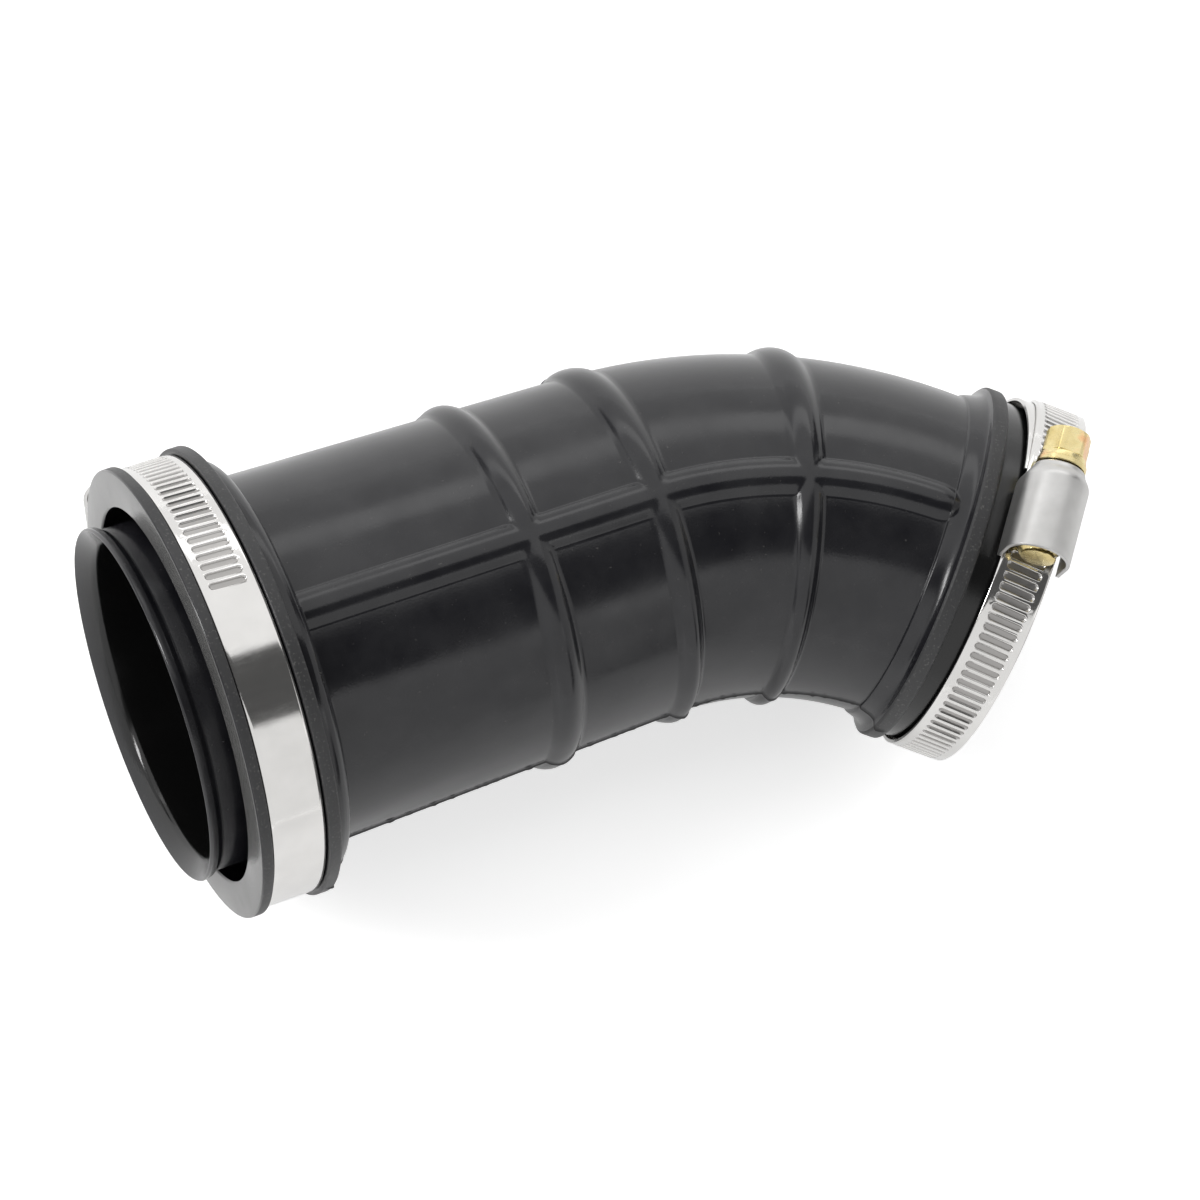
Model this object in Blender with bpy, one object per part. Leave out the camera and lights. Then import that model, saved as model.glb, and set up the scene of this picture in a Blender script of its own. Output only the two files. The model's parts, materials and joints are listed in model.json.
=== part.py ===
# Carburetor intake boot: a bent rubber duct with a worm-drive clamp at each end
import math

import bmesh
import bpy
from mathutils import Matrix, Vector

MM = 0.001

# Centre line: a straight run from the airbox collar's front face, one bend, and a short carburetor run
STRAIGHT_LENGTH = 79.6 * MM
BEND_RADIUS = 77.5 * MM
BEND_ANGLE = math.radians(38.9)
CARB_RUN = 7.4 * MM

# Duct wall, which tapers from the airbox end to the carburetor end
DUCT_RADIUS_AIRBOX = 32.1 * MM
DUCT_RADIUS_CARB = 28.3 * MM
DUCT_WALL = 3.3 * MM
SLEEVE_WALL = 2.5 * MM

# Raised ribs moulded on the duct: round hoops, and one rib along each side
HOOP_STATIONS = (57.6 * MM, 80.6 * MM, 106.9 * MM)
HOOP_HALF_WIDTH = 2.6 * MM
SIDE_RIB_HALF_WIDTH = 3.1 * MM
RIB_HEIGHT = 1.35 * MM
SIDE_RIB_FADE = 7.0 * MM

# Airbox collar: a lip, a groove for the clamp, a bead and a shoulder
COLLAR_RADIUS = 38.6 * MM
COLLAR_LIP = 2.0 * MM
GROOVE_DEPTH = 1.7 * MM
BEAD_WIDTH = 2.2 * MM
SHOULDER_RADIUS = 35.7 * MM
SHOULDER_LENGTH = 3.4 * MM
EDGE_BREAK = 0.35 * MM
FILLET = 1.6 * MM

# Ring slot behind the collar's face, and the inner sleeve that stands out of it
SLOT_WIDTH = 2.75 * MM
SLOT_DEPTH = 10.5 * MM
SLEEVE_RADIUS = 29.4 * MM
SLEEVE_REACH = 5.6 * MM
SLEEVE_LIP_HEIGHT = 1.0 * MM
SLEEVE_LIP_LENGTH = 1.6 * MM
SLEEVE_CHAMFER = 2.4 * MM
SLEEVE_LAND_LENGTH = 12.0 * MM

# Carburetor flange and the cuff that the second clamp sits on
FLANGE_RADIUS = 31.6 * MM
FLANGE_THICKNESS = 2.8 * MM
FLANGE_ROUND = 0.8 * MM
NECK_RING_RISE = 1.3 * MM
NECK_RING_WIDTH = 2.9 * MM
CUFF_RADIUS = 30.3 * MM
CUFF_WALL = 4.0 * MM
CUFF_LENGTH = 10.0 * MM

# Clamp hardware, shared by both clamps
BAND_WIDTH = 9.0 * MM
BAND_THICKNESS = 0.6 * MM
BAND_LAP_GAP = 0.1 * MM
BAND_RAMP_LENGTH = 7.0 * MM
SCREW_RADIUS = 3.5 * MM
SCREW_NECK_RADIUS = 2.5 * MM
SCREW_TIP_LENGTH = 0.9 * MM
SCREW_TIP_REACH = 0.8 * MM
HEX_ACROSS_FLATS = 7.0 * MM
HEX_HEIGHT = 4.5 * MM
HEX_CHAMFER = 0.6 * MM
HEAD_FLANGE_RADIUS = 4.05 * MM
HEAD_FLANGE_THICKNESS = 2.0 * MM
DRIVE_SLOT_WIDTH = 1.2 * MM
DRIVE_SLOT_DEPTH = 1.6 * MM
HOUSING_LENGTH = 16.4 * MM
HOUSING_RADIUS = 5.6 * MM
HOUSING_SHEET = 0.7 * MM
HOUSING_NOSE_LENGTH = 3.2 * MM
HOUSING_NOSE_RADIUS = 4.1 * MM

# Clearances: touching pieces, turning pieces, and the slack of the loose carburetor clamp
FIT = 0.3 * MM
TURNING_FIT = 0.3 * MM
CARB_CLAMP_SLACK = 0.7 * MM
CARB_CLAMP_LEAN = math.radians(1.6)

# Where each clamp's screw housing stands, turned from the outside of the bend, and how far its tail runs on
COLLAR_HOUSING_ANGLE = math.radians(-35.0)
COLLAR_TAIL_ARC = 24.0 * MM
CARB_HOUSING_ANGLE = math.radians(88.0)
CARB_TAIL_ARC = 37.0 * MM
CARB_TAIL_DRIFT = 4.0 * MM

# Mesh fineness
COLUMNS_BETWEEN_RIBS = 20
PATH_STEP = 5.4 * MM
BAND_STEP = math.radians(6.0)
ROUND_SIDES = 18
ARCH_SIDES = 12
RIB_STEPS = (-1.0, -0.66, -0.34, 0.0, 0.34, 0.66, 1.0)

# Masses by volume, which settle how the part lies
RUBBER_DENSITY = 1200.0
STEEL_DENSITY = 7900.0

# Sizes that follow from the ones above
BEND_END = STRAIGHT_LENGTH + BEND_RADIUS * BEND_ANGLE
FLANGE_FACE = BEND_END + CARB_RUN
CUFF_END = FLANGE_FACE + CUFF_LENGTH
SLOT_OUTER_RADIUS = SLEEVE_RADIUS + SLOT_WIDTH
GROOVE_END = COLLAR_LIP + BAND_WIDTH + 2 * FIT
BEAD_END = GROOVE_END + BEAD_WIDTH
SHOULDER_END = BEAD_END + SHOULDER_LENGTH
DUCT_START = SHOULDER_END + 2 * FILLET
NECK_RING_START = FLANGE_FACE - FLANGE_THICKNESS - NECK_RING_WIDTH
CUFF_BORE_RADIUS = CUFF_RADIUS - CUFF_WALL
SLEEVE_BORE_RADIUS = SLEEVE_RADIUS - SLEEVE_WALL
BAND_PITCH = BAND_THICKNESS + BAND_LAP_GAP
HOUSING_HALF = 0.5 * HOUSING_LENGTH
COLLAR_BAND_INNER = COLLAR_RADIUS - GROOVE_DEPTH + FIT
CARB_BAND_INNER = CUFF_RADIUS + CARB_CLAMP_SLACK


def path_frame(s):
    """Frame on the centre line at distance s: X along the duct, Y to the outside of the bend."""
    bend = min(max((s - STRAIGHT_LENGTH) / BEND_RADIUS, 0.0), BEND_ANGLE)
    before = min(s, STRAIGHT_LENGTH)
    after = max(s - BEND_END, 0.0)
    x = before + BEND_RADIUS * math.sin(bend) + after * math.cos(bend)
    y = -BEND_RADIUS * (1 - math.cos(bend)) - after * math.sin(bend)
    return Matrix.Translation((x, y, 0.0)) @ Matrix.Rotation(-bend, 4, "Z")


def duct_radius(s):
    """Outer radius of the plain duct wall."""
    return DUCT_RADIUS_AIRBOX + (DUCT_RADIUS_CARB - DUCT_RADIUS_AIRBOX) * s / FLANGE_FACE


def ridge(offset, half_width):
    """Height of a rib's rounded section, as a share of its crest."""
    share = min(abs(offset) / half_width, 1.0)
    return (1 - share * share) ** 2


def rib_relief(s, angle):
    """How far the ribs stand above the plain duct wall."""
    hoop = max(ridge(s - station, HOOP_HALF_WIDTH) for station in HOOP_STATIONS)
    around = (abs(angle) - math.pi / 2) * duct_radius(s)
    fade = min(max((NECK_RING_START - s) / SIDE_RIB_FADE, 0.0), 1.0)
    return RIB_HEIGHT * max(hoop, fade * ridge(around, SIDE_RIB_HALF_WIDTH))


def spread(start, end, step):
    """Evenly spaced values from start to end, both included, at most a step apart."""
    count = max(1, math.ceil((end - start) / step - 1e-6))
    return [start + (end - start) * i / count for i in range(count + 1)]


def collar_profile():
    """Outer section of the airbox end, from the slot's mouth back to the duct."""
    floor = COLLAR_RADIUS - GROOVE_DEPTH
    foot = duct_radius(DUCT_START)
    return [
        (0.0, SLOT_OUTER_RADIUS),
        (0.0, COLLAR_RADIUS - EDGE_BREAK),
        (EDGE_BREAK, COLLAR_RADIUS),
        (COLLAR_LIP, COLLAR_RADIUS),
        (COLLAR_LIP, floor),
        (GROOVE_END, floor),
        (GROOVE_END, COLLAR_RADIUS),
        (BEAD_END - EDGE_BREAK, COLLAR_RADIUS),
        (BEAD_END, COLLAR_RADIUS - EDGE_BREAK),
        (BEAD_END + 0.2 * EDGE_BREAK, SHOULDER_RADIUS + 2 * EDGE_BREAK),
        (BEAD_END + 2 * EDGE_BREAK, SHOULDER_RADIUS),
        (SHOULDER_END - 2 * EDGE_BREAK, SHOULDER_RADIUS),
        (SHOULDER_END, SHOULDER_RADIUS - 2 * EDGE_BREAK),
        (SHOULDER_END + 0.2 * FILLET, foot + 0.9 * FILLET),
        (SHOULDER_END + 0.8 * FILLET, foot + 0.25 * FILLET),
        (DUCT_START, foot),
    ]


def duct_stations():
    """Distances along the centre line where the ribbed wall has a ring of points."""
    rib_rings = [h + HOOP_HALF_WIDTH * step for h in HOOP_STATIONS for step in RIB_STEPS]
    marks = [DUCT_START] + [h + HOOP_HALF_WIDTH * side for h in HOOP_STATIONS for side in (-1, 1)]
    marks += [NECK_RING_START - SIDE_RIB_FADE, NECK_RING_START]
    stations = set(rib_rings)
    for start, end in zip(marks[::2], marks[1::2]):
        stations.update(spread(start, end, PATH_STEP if end > STRAIGHT_LENGTH else 2 * PATH_STEP))
    stations.update(spread(marks[-2], marks[-1], 0.5 * SIDE_RIB_FADE))
    ordered = sorted(stations)
    kept = [ordered[0]]
    for s in ordered[1:]:
        if s - kept[-1] > 0.05 * MM:
            kept.append(s)
    return [s for s in kept if DUCT_START < s < NECK_RING_START]


def carb_end_profile():
    """Outer section of the carburetor end: neck ring, flange, cuff and its end face."""
    foot = duct_radius(NECK_RING_START)
    ring = foot + NECK_RING_RISE
    back = FLANGE_FACE - FLANGE_THICKNESS
    return [
        (NECK_RING_START, foot),
        (NECK_RING_START + 0.25 * NECK_RING_WIDTH, foot + 0.75 * NECK_RING_RISE),
        (NECK_RING_START + 0.6 * NECK_RING_WIDTH, ring),
        (back - EDGE_BREAK, ring - EDGE_BREAK),
        (back, FLANGE_RADIUS - FLANGE_ROUND),
        (back + 0.3 * FLANGE_ROUND, FLANGE_RADIUS - 0.3 * FLANGE_ROUND),
        (back + FLANGE_ROUND, FLANGE_RADIUS),
        (FLANGE_FACE - FLANGE_ROUND, FLANGE_RADIUS),
        (FLANGE_FACE - 0.3 * FLANGE_ROUND, FLANGE_RADIUS - 0.3 * FLANGE_ROUND),
        (FLANGE_FACE, FLANGE_RADIUS - FLANGE_ROUND),
        (FLANGE_FACE, CUFF_RADIUS),
        (CUFF_END, CUFF_RADIUS),
    ]


def bore_profile():
    """Inner section, from the cuff's mouth back to the airbox sleeve and round into the ring slot."""
    wide = duct_radius(DUCT_START) - DUCT_WALL
    lip = SLEEVE_RADIUS + SLEEVE_LIP_HEIGHT
    points = [(CUFF_END, CUFF_BORE_RADIUS), (FLANGE_FACE, CUFF_BORE_RADIUS)]
    for s in reversed(spread(STRAIGHT_LENGTH, BEND_END, 1.2 * PATH_STEP)):
        points.append((s, duct_radius(s) - DUCT_WALL))
    points += [
        (DUCT_START + 2 * FILLET, wide),
        (SLEEVE_LAND_LENGTH, SLEEVE_BORE_RADIUS),
        (SLEEVE_CHAMFER - SLEEVE_REACH, SLEEVE_BORE_RADIUS),
        (-SLEEVE_REACH, lip - EDGE_BREAK),
        (EDGE_BREAK - SLEEVE_REACH, lip),
        (SLEEVE_LIP_LENGTH - SLEEVE_REACH, lip - 0.3 * SLEEVE_LIP_HEIGHT),
        (1.4 * SLEEVE_LIP_LENGTH - SLEEVE_REACH, SLEEVE_RADIUS),
        (SLOT_DEPTH, SLEEVE_RADIUS),
        (SLOT_DEPTH, SLOT_OUTER_RADIUS),
    ]
    return points


def column_angles():
    """Angles round the duct, close together over the two side ribs."""
    middle = duct_radius(0.5 * FLANGE_FACE)
    half = SIDE_RIB_HALF_WIDTH / middle
    angles = []
    for side in (-math.pi / 2, math.pi / 2):
        angles += [side + half * step for step in RIB_STEPS]
        gap = math.pi - 2 * half
        angles += [side + half + gap * (i + 1) / (COLUMNS_BETWEEN_RIBS + 1) for i in range(COLUMNS_BETWEEN_RIBS)]
    return angles


def ring_faces(mesh, rings, close):
    """Join rings of equal length with quads, and the last ring to the first when close is set."""
    count = len(rings) if close else len(rings) - 1
    for i in range(count):
        one = rings[i]
        two = rings[(i + 1) % len(rings)]
        for j in range(len(one)):
            k = (j + 1) % len(one)
            mesh.faces.new((one[j], one[k], two[k], two[j]))


def finish_object(name, mesh, material, parent=None, placement=None):
    """Turn a bmesh into a named object with its faces outward."""
    bmesh.ops.recalc_face_normals(mesh, faces=mesh.faces[:])
    data = bpy.data.meshes.new(name)
    mesh.to_mesh(data)
    mesh.free()
    data.materials.append(material)
    data.shade_smooth()
    data.set_sharp_from_angle(angle=math.radians(35))
    piece = bpy.data.objects.new(name, data)
    bpy.context.collection.objects.link(piece)
    if parent:
        piece.parent = parent
    if placement:
        piece.matrix_local = placement
    return piece


def make_material(name, colour, roughness, metallic):
    """One Principled material."""
    material = bpy.data.materials.new(name)
    material.use_nodes = True
    shader = material.node_tree.nodes["Principled BSDF"]
    shader.inputs["Base Color"].default_value = (*colour, 1.0)
    shader.inputs["Roughness"].default_value = roughness
    shader.inputs["Metallic"].default_value = metallic
    return material


def make_boot(material, parent):
    """The moulded rubber boot: one closed skin swept along the centre line."""
    ribbed = [(s, duct_radius(s), True) for s in duct_stations()]
    plain = [(s, r, False) for s, r in collar_profile()]
    plain_end = [(s, r, False) for s, r in carb_end_profile() + bore_profile()]
    angles = column_angles()
    mesh = bmesh.new()
    rings = []
    for s, radius, is_ribbed in plain + ribbed + plain_end:
        frame = path_frame(s)
        ring = []
        for angle in angles:
            turned = math.remainder(angle, 2 * math.pi)
            r = radius + (rib_relief(s, turned) if is_ribbed else 0.0)
            ring.append(mesh.verts.new(frame @ Vector((0.0, r * math.cos(angle), r * math.sin(angle)))))
        rings.append(ring)
    ring_faces(mesh, rings, close=True)
    return finish_object("rubber_boot", mesh, material, parent)


def band_path(clamp):
    """Angle, inner radius and sideways drift of the strip, from its tail's end to its fixed end."""
    inner = clamp["inner_radius"]
    head = clamp["housing_angle"] - HOUSING_HALF / inner
    tail_end = head - clamp["tail_arc"] / inner
    lap_end = head + BAND_RAMP_LENGTH / inner
    fixed_end = head + 2 * math.pi + 0.1 * BAND_RAMP_LENGTH / inner
    turns = spread(tail_end, head, BAND_STEP) + spread(head, lap_end, BAND_STEP / 2)[1:]
    turns += spread(lap_end, fixed_end, BAND_STEP)[1:]
    path = []
    for turn in turns:
        lift = min(max((lap_end - turn) / (lap_end - head), 0.0), 1.0)
        drift = max((clamp["housing_angle"] - turn) / (clamp["housing_angle"] - tail_end), 0.0)
        path.append((turn, inner + BAND_PITCH * lift, clamp["tail_drift"] * drift ** 1.6))
    return path


def make_band(clamp, material, parent):
    """The steel strip of one clamp: once round, through the housing, and on as the tail."""
    mesh = bmesh.new()
    half = 0.5 * BAND_WIDTH
    rings = []
    for turn, radius, drift in band_path(clamp):
        corners = [(-half, radius), (half, radius), (half, radius + BAND_THICKNESS), (-half, radius + BAND_THICKNESS)]
        rings.append([mesh.verts.new((x + drift, r * math.cos(turn), r * math.sin(turn))) for x, r in corners])
    ring_faces(mesh, rings, close=False)
    mesh.faces.new(rings[0])
    mesh.faces.new(rings[-1])
    return finish_object(clamp["name"] + "_band", mesh, material, parent)


def screw_height(band_radius):
    """Height of a screw's axis over the strip, where thread and head both clear the strip and its tail."""
    tail_drop = band_radius - math.sqrt(band_radius**2 - HOUSING_HALF**2)
    over_strip = SCREW_RADIUS + TURNING_FIT + 0.5 * BAND_PITCH
    over_tail = HEAD_FLANGE_RADIUS + TURNING_FIT + BAND_PITCH - tail_drop
    return max(over_strip, over_tail)


def arch_outline(radius, foot, axis_height):
    """Half a circle about the screw's axis, with straight legs down to the foot."""
    points = [(-radius, foot)]
    for i in range(ARCH_SIDES + 1):
        turn = math.pi * (1 - i / ARCH_SIDES)
        points.append((radius * math.cos(turn), axis_height + radius * math.sin(turn)))
    points.append((radius, foot))
    return points


def housing_frame(clamp):
    """Frame of a screw housing: X toward the screw's head, Z outward, origin on the strip's outer face."""
    turn = clamp["housing_angle"]
    outward = Vector((0.0, math.cos(turn), math.sin(turn)))
    headward = Vector((0.0, math.sin(turn), -math.cos(turn)))
    across = outward.cross(headward)
    frame = Matrix((headward, across, outward)).transposed().to_4x4()
    frame.translation = outward * (clamp["inner_radius"] + BAND_THICKNESS)
    return frame


def make_housing(clamp, material, parent):
    """The pressed cover over the screw, open below, its head end drawn in round the screw's neck."""
    end = HOUSING_HALF
    nose = end - HOUSING_NOSE_LENGTH
    inner = HOUSING_RADIUS - HOUSING_SHEET
    hole = SCREW_NECK_RADIUS + TURNING_FIT
    middle = 0.5 * (HOUSING_RADIUS + HOUSING_NOSE_RADIUS) + 0.2 * HOUSING_SHEET
    foot = clamp["housing_foot"]
    height = clamp["screw_height"]
    raised = max(foot, BAND_PITCH)
    sections = [
        (-end, HOUSING_RADIUS, inner, foot),
        (nose, HOUSING_RADIUS, inner, foot),
        (nose + 0.5 * HOUSING_NOSE_LENGTH, middle, middle - HOUSING_SHEET, raised),
        (end - HOUSING_SHEET - 0.2 * MM, middle - 0.5 * HOUSING_SHEET, middle - 1.5 * HOUSING_SHEET, raised),
        (end - HOUSING_SHEET, HOUSING_NOSE_RADIUS + 0.4 * HOUSING_SHEET, hole, raised),
        (end, HOUSING_NOSE_RADIUS, hole, raised),
    ]
    mesh = bmesh.new()
    rings = []
    for x, outer_radius, inner_radius, foot_height in sections:
        outer = arch_outline(outer_radius, foot_height, height)
        outline = outer + arch_outline(inner_radius, foot_height, height)[::-1]
        rings.append([mesh.verts.new((x, y, z)) for y, z in outline])
    ring_faces(mesh, rings, close=False)
    for ring in (rings[0], rings[-1]):
        last = len(ring) - 1
        for i in range(len(ring) // 2 - 1):
            mesh.faces.new((ring[i], ring[i + 1], ring[last - i - 1], ring[last - i]))
    return finish_object(clamp["name"] + "_housing", mesh, material, parent, housing_frame(clamp))


def hex_radius(turn):
    """Distance from the axis to a hexagon's side in a direction."""
    sector = math.pi / 3
    return 0.5 * HEX_ACROSS_FLATS / math.cos(turn % sector - 0.5 * sector)


def make_screw(clamp, material, parent):
    """The hex-headed worm screw: X runs out of the head, origin where its neck leaves the housing."""
    seat = FIT
    flange_top = seat + HEAD_FLANGE_THICKNESS
    top = flange_top + HEX_HEIGHT
    tip = -(HOUSING_LENGTH + SCREW_TIP_REACH)
    thread_start = -(HOUSING_SHEET + FIT)
    corner = HEX_ACROSS_FLATS / math.sqrt(3)
    stations = [
        (tip, 0.7 * SCREW_RADIUS, False),
        (tip + SCREW_TIP_LENGTH, SCREW_RADIUS, False),
        (thread_start, SCREW_RADIUS, False),
        (thread_start, SCREW_NECK_RADIUS, False),
        (seat, SCREW_NECK_RADIUS, False),
        (seat, HEAD_FLANGE_RADIUS, False),
        (flange_top - 0.4 * HEAD_FLANGE_THICKNESS, HEAD_FLANGE_RADIUS, False),
        (flange_top, corner + 0.05 * MM, False),
        (flange_top, 1.0, True),
        (top - HEX_CHAMFER, 1.0, True),
        (top, 0.5 * HEX_ACROSS_FLATS - 0.3 * HEX_CHAMFER, False),
    ]
    mesh = bmesh.new()
    rings = []
    for x, radius, is_hex in stations:
        ring = []
        for i in range(ROUND_SIDES):
            turn = 2 * math.pi * i / ROUND_SIDES
            r = hex_radius(turn) if is_hex else radius
            ring.append(mesh.verts.new((x, r * math.cos(turn), r * math.sin(turn))))
        rings.append(ring)
    ring_faces(mesh, rings, close=False)
    mesh.faces.new(rings[0])
    mesh.faces.new(rings[-1])
    pivot = housing_frame(clamp) @ Matrix.Translation((HOUSING_HALF, 0.0, clamp["screw_height"]))
    screw = finish_object(clamp["name"] + "_screw", mesh, material, parent, pivot)
    cut_drive_slot(screw, top)
    return screw


def cut_drive_slot(screw, top):
    """A straight screwdriver slot across the hex head."""
    mesh = bmesh.new()
    bmesh.ops.create_cube(mesh, size=1.0)
    size = (2 * DRIVE_SLOT_DEPTH, 2 * HEX_ACROSS_FLATS, DRIVE_SLOT_WIDTH)
    bmesh.ops.scale(mesh, vec=size, verts=mesh.verts[:])
    cutter = finish_object(screw.name + "_slot_cutter", mesh, screw.data.materials[0], screw)
    cutter.matrix_local = Matrix.Translation((top, 0.0, 0.0))
    cutter.hide_render = True
    cutter.display_type = "WIRE"
    cut = screw.modifiers.new("drive_slot", "BOOLEAN")
    cut.operation = "DIFFERENCE"
    cut.object = cutter


def make_empty(name, placement, parent=None):
    """A frame that pieces hang from."""
    empty = bpy.data.objects.new(name, None)
    empty.empty_display_size = 0.02
    bpy.context.collection.objects.link(empty)
    if parent:
        empty.parent = parent
    empty.matrix_local = placement
    return empty


def clamps():
    """The two clamps, sized to the groove and to the cuff that they go round."""
    lean_reach = (CARB_BAND_INNER + BAND_THICKNESS) * math.sin(CARB_CLAMP_LEAN)
    carb_middle = FLANGE_FACE + FIT + lean_reach + 0.5 * BAND_WIDTH
    carb_lift = CARB_CLAMP_SLACK - FIT
    lean = Matrix.Rotation(CARB_CLAMP_LEAN, 4, "Y")
    return [
        {
            "name": "collar_clamp",
            "frame": path_frame(COLLAR_LIP + FIT + 0.5 * BAND_WIDTH),
            "inner_radius": COLLAR_BAND_INNER,
            "housing_angle": COLLAR_HOUSING_ANGLE,
            "housing_foot": COLLAR_RADIUS + FIT - COLLAR_BAND_INNER - BAND_THICKNESS,
            "screw_height": screw_height(COLLAR_BAND_INNER + BAND_THICKNESS),
            "tail_arc": COLLAR_TAIL_ARC,
            "tail_drift": 0.0,
        },
        {
            "name": "carb_clamp",
            "frame": path_frame(carb_middle) @ Matrix.Translation((0.0, 0.0, carb_lift)) @ lean,
            "inner_radius": CARB_BAND_INNER,
            "housing_angle": CARB_HOUSING_ANGLE,
            "housing_foot": 0.0,
            "screw_height": screw_height(CARB_BAND_INNER + BAND_THICKNESS),
            "tail_arc": CARB_TAIL_ARC,
            "tail_drift": CARB_TAIL_DRIFT,
        },
    ]


def mass_and_centre(piece, density):
    """Mass and first moment of a closed mesh in world space."""
    mesh = bmesh.new()
    mesh.from_mesh(piece.data)
    mesh.transform(piece.matrix_world)
    bmesh.ops.triangulate(mesh, faces=mesh.faces[:])
    volume = 0.0
    moment = Vector((0.0, 0.0, 0.0))
    for face in mesh.faces:
        a, b, c = (v.co for v in face.verts)
        share = a.dot(b.cross(c)) / 6
        volume += share
        moment += share * (a + b + c) / 4
    mesh.free()
    return volume * density, moment * density


def lying_frame(pieces, densities):
    """Placement that lays the part on the side it would settle on, its far side down."""
    mass = 0.0
    moment = Vector((0.0, 0.0, 0.0))
    hull = bmesh.new()
    for piece in pieces:
        piece_mass, piece_moment = mass_and_centre(piece, densities[piece.data.materials[0].name])
        mass += piece_mass
        moment += piece_moment
        for vertex in piece.data.vertices:
            hull.verts.new(piece.matrix_world @ vertex.co)
    centre = moment / mass
    bmesh.ops.convex_hull(hull, input=hull.verts[:], use_existing_faces=False)
    hull.normal_update()
    best = None
    for face in hull.faces:
        outward = face.normal if face.normal.dot(face.verts[0].co - centre) > 0 else -face.normal
        drop = centre + outward * outward.dot(face.verts[0].co - centre)
        corners = [v.co for v in face.verts]
        turns = []
        for i, corner in enumerate(corners):
            edge = corners[(i + 1) % len(corners)] - corner
            turns.append(edge.cross(drop - corner).dot(face.normal))
        if min(turns) >= 0 and (best is None or outward.z < best[0].z):
            best = (outward.copy(), corners[0].copy())
    down, contact = best
    forward = Vector((1.0, 0.0, 0.0))
    x_axis = (forward - down * down.dot(forward)).normalized()
    turn = Matrix((x_axis, (-down).cross(x_axis), -down))
    world = [turn @ v.co for v in hull.verts]
    hull.free()
    middle = [0.5 * (min(p[i] for p in world) + max(p[i] for p in world)) for i in (0, 1)]
    ground = (turn @ contact).z
    return Matrix.Translation((-middle[0], -middle[1], -ground)) @ turn.to_4x4()


def build():
    """Make every piece on the boot's own axes, then lay the whole part down."""
    for item in list(bpy.data.objects):
        bpy.data.objects.remove(item)
    rubber = make_material("rubber", (0.03, 0.03, 0.032), 0.38, 0.0)
    steel = make_material("stainless_steel", (0.62, 0.61, 0.59), 0.28, 1.0)
    zinc = make_material("yellow_zinc", (0.72, 0.58, 0.28), 0.3, 1.0)
    root = make_empty("boot_frame", Matrix.Identity(4))
    pieces = [make_boot(rubber, root)]
    for clamp in clamps():
        frame = make_empty(clamp["name"] + "_frame", clamp["frame"], root)
        pieces.append(make_band(clamp, steel, frame))
        pieces.append(make_housing(clamp, steel, frame))
        pieces.append(make_screw(clamp, zinc, frame))
    bpy.context.view_layer.update()
    densities = {"rubber": RUBBER_DENSITY, "stainless_steel": STEEL_DENSITY, "yellow_zinc": STEEL_DENSITY}
    root.matrix_world = lying_frame(pieces, densities)
    bpy.context.view_layer.update()


build()
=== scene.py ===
# %% [markdown]
# # A rubber intake boot with two band clamps
# The real object is a moulded rubber elbow that joins an airbox to a carburetor.
# A steel band with a worm screw goes round each end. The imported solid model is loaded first,
# as a frame that never moves, and every finer piece is built in its place.
# Working from the frame keeps all the sizes true, and leaves this script only the looks to make.

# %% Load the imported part
import json
import math

import bmesh
import bpy
import numpy as np
from mathutils import Matrix, Vector


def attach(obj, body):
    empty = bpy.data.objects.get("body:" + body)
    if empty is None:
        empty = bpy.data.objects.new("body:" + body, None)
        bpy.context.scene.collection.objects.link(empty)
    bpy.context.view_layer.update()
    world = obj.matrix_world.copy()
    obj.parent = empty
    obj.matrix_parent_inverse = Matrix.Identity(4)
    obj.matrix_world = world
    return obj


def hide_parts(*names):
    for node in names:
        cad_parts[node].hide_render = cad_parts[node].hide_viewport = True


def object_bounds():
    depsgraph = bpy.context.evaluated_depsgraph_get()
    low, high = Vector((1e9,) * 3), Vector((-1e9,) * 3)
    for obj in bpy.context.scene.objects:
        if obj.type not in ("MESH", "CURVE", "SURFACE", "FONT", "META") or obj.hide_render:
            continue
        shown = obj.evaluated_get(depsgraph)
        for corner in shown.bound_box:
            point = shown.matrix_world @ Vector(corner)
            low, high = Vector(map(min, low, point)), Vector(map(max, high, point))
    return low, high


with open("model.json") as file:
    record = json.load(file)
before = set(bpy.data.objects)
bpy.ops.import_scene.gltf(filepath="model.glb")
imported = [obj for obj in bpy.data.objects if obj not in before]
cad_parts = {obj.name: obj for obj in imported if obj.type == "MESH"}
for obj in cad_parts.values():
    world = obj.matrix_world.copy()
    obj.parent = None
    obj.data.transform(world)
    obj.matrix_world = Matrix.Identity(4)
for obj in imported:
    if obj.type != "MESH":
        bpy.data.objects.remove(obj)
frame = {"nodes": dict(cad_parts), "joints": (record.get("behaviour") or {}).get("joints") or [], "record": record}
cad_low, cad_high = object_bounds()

print("nodes:", sorted(frame["nodes"]))
print("size in mm:", [round(1000 * side, 1) for side in cad_high - cad_low])

# %% [markdown]
# ## The boot's own axes
# The part lies tilted on the floor, but a duct is easier to describe along its own centre line.
# The record says where two flat faces are and which way they look. Those two directions give
# the boot's axes: X along the straight run, Y to the outside of the bend, Z to the seen side.
# Reading them from the record keeps the pieces in place if the part is packed lying another way.

# %% Sizes that place the boot, in millimetres
COLLAR_RADIUS = 38.6
SLOT_OUTER_RADIUS = 32.15
EDGE_BREAK = 0.35
STRAIGHT_LENGTH = 79.6
BEND_RADIUS = 77.5
BEND_ANGLE = math.radians(38.9)
BEND_END = STRAIGHT_LENGTH + BEND_RADIUS * BEND_ANGLE
FLANGE_FACE = BEND_END + 7.4
CUFF_END = FLANGE_FACE + 10.0

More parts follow.
